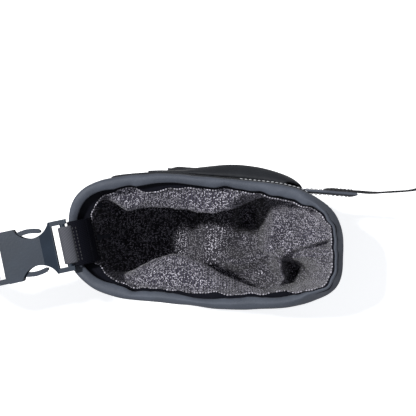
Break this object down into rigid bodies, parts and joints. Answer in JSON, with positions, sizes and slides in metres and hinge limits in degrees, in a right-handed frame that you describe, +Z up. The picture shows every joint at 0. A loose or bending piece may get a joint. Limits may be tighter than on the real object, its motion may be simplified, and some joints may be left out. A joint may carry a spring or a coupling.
{
  "type": "treat pouch",
  "caption": "Soft open-mouthed waist pouch with a stayed rim, back zip pocket, webbing belt and side-release buckle.",
  "frame": {"origin": "centre of the pouch's flat base, on its underside", "axes": "+Z up, +X along the mouth away from the buckle, +Y towards the wearer's side with the zip pocket"},
  "size_m": [0.4263, 0.336, 0.1372],
  "materials": {
    "shell_fabric": "matte",
    "rim_fabric": "satin",
    "lining_knit": "matte",
    "base_board": "matte",
    "stay_strip": "satin",
    "magnet": "polished",
    "webbing": "matte",
    "tab_webbing": "matte",
    "buckle_plastic": "satin",
    "reflective_piping": "satin",
    "zip_tape": "matte",
    "zip_nylon": "satin",
    "zip_metal": "satin"
  },
  "bodies": {
    "pouch": {"gusset_and_base": "shell_fabric", "base_board": "base_board", "lining": "lining_knit", "buckle_tab": "tab_webbing", "belt_wing": "shell_fabric", "belt_webbing": "webbing"},
    "front_wall": {"front_panel": "shell_fabric", "front_rim_facing": "rim_fabric", "front_rim_stay": "stay_strip", "front_magnet": "magnet"},
    "back_wall": {"back_panel": "shell_fabric", "back_rim_facing": "rim_fabric", "back_rim_stay": "stay_strip", "back_magnet": "magnet", "rim_piping": "reflective_piping", "pocket_panel": "shell_fabric", "zip_tape_upper": "zip_tape", "zip_tape_lower": "zip_tape", "zip_coil": "zip_nylon", "zip_stops": "zip_metal"},
    "zip_runner": {"zip_slider": "zip_metal"},
    "pull_tab": {"zip_pull": "zip_metal"},
    "buckle_socket": {"female_buckle": "buckle_plastic"},
    "buckle_plug": {"male_buckle": "buckle_plastic"},
    "plug_prong_front": {"prong_front": "buckle_plastic"},
    "plug_prong_back": {"prong_back": "buckle_plastic"},
    "strap_keeper": {"belt_keeper": "webbing"}
  },
  "joints": [
    {"name": "mouth_front", "type": "hinge", "parent": "pouch", "child": "front_wall", "pos_m": [0, -0.0215, 0.008], "axis": [-1, 0, 0], "range_deg": [0, 17.4], "deforming": ["front_panel", "front_rim_facing", "front_rim_stay", "lining"]},
    {"name": "mouth_back", "type": "hinge", "parent": "pouch", "child": "back_wall", "pos_m": [0, 0.0215, 0.008], "axis": [1, 0, 0], "range_deg": [0, 17.4], "deforming": ["back_panel", "back_rim_facing", "back_rim_stay"]},
    {"name": "zip_slide", "type": "slide", "parent": "back_wall", "child": "zip_runner", "axis": [-1, 0, 0], "range_m": [0, 0.0616]},
    {"name": "zip_pull_swing", "type": "hinge", "parent": "zip_runner", "child": "pull_tab", "pos_m": [0.0398, 0.0495, 0.078], "axis": [0, 0, -1], "range_deg": [0, 170]},
    {"name": "tab_swing", "type": "hinge", "parent": "pouch", "child": "buckle_socket", "pos_m": [-0.087, -0.0088, 0.132], "axis": [-0.2823, 0.9593, 0], "range_deg": [-55, 60], "deforming": ["belt_webbing"]},
    {"name": "buckle_release", "type": "slide", "parent": "buckle_socket", "child": "buckle_plug", "axis": [-0.9593, -0.2823, 0], "range_m": [0, 0.024], "deforming": ["belt_webbing"]},
    {"name": "prong_front_flex", "type": "hinge", "parent": "buckle_plug", "child": "plug_prong_front", "pos_m": [-0.1193, -0.03081, 0.132], "axis": [0, 0, 1], "range_deg": [0, 14]},
    {"name": "prong_back_flex", "type": "hinge", "parent": "buckle_plug", "child": "plug_prong_back", "pos_m": [-0.12607, -0.00779, 0.132], "axis": [0, 0, -1], "range_deg": [0, 14]},
    {"name": "keeper_slide", "type": "slide", "parent": "buckle_plug", "child": "strap_keeper", "axis": [-0.9593, -0.2823, 0], "range_m": [0, 0.014], "deforming": ["belt_webbing"]}
  ],
  "couplings": [
    {"joint": "mouth_back", "follows": "mouth_front", "ratio": 1},
    {"joint": "prong_front_flex", "follows": "buckle_release", "rad_per_m": 10},
    {"joint": "prong_back_flex", "follows": "buckle_release", "rad_per_m": 10}
  ]
}
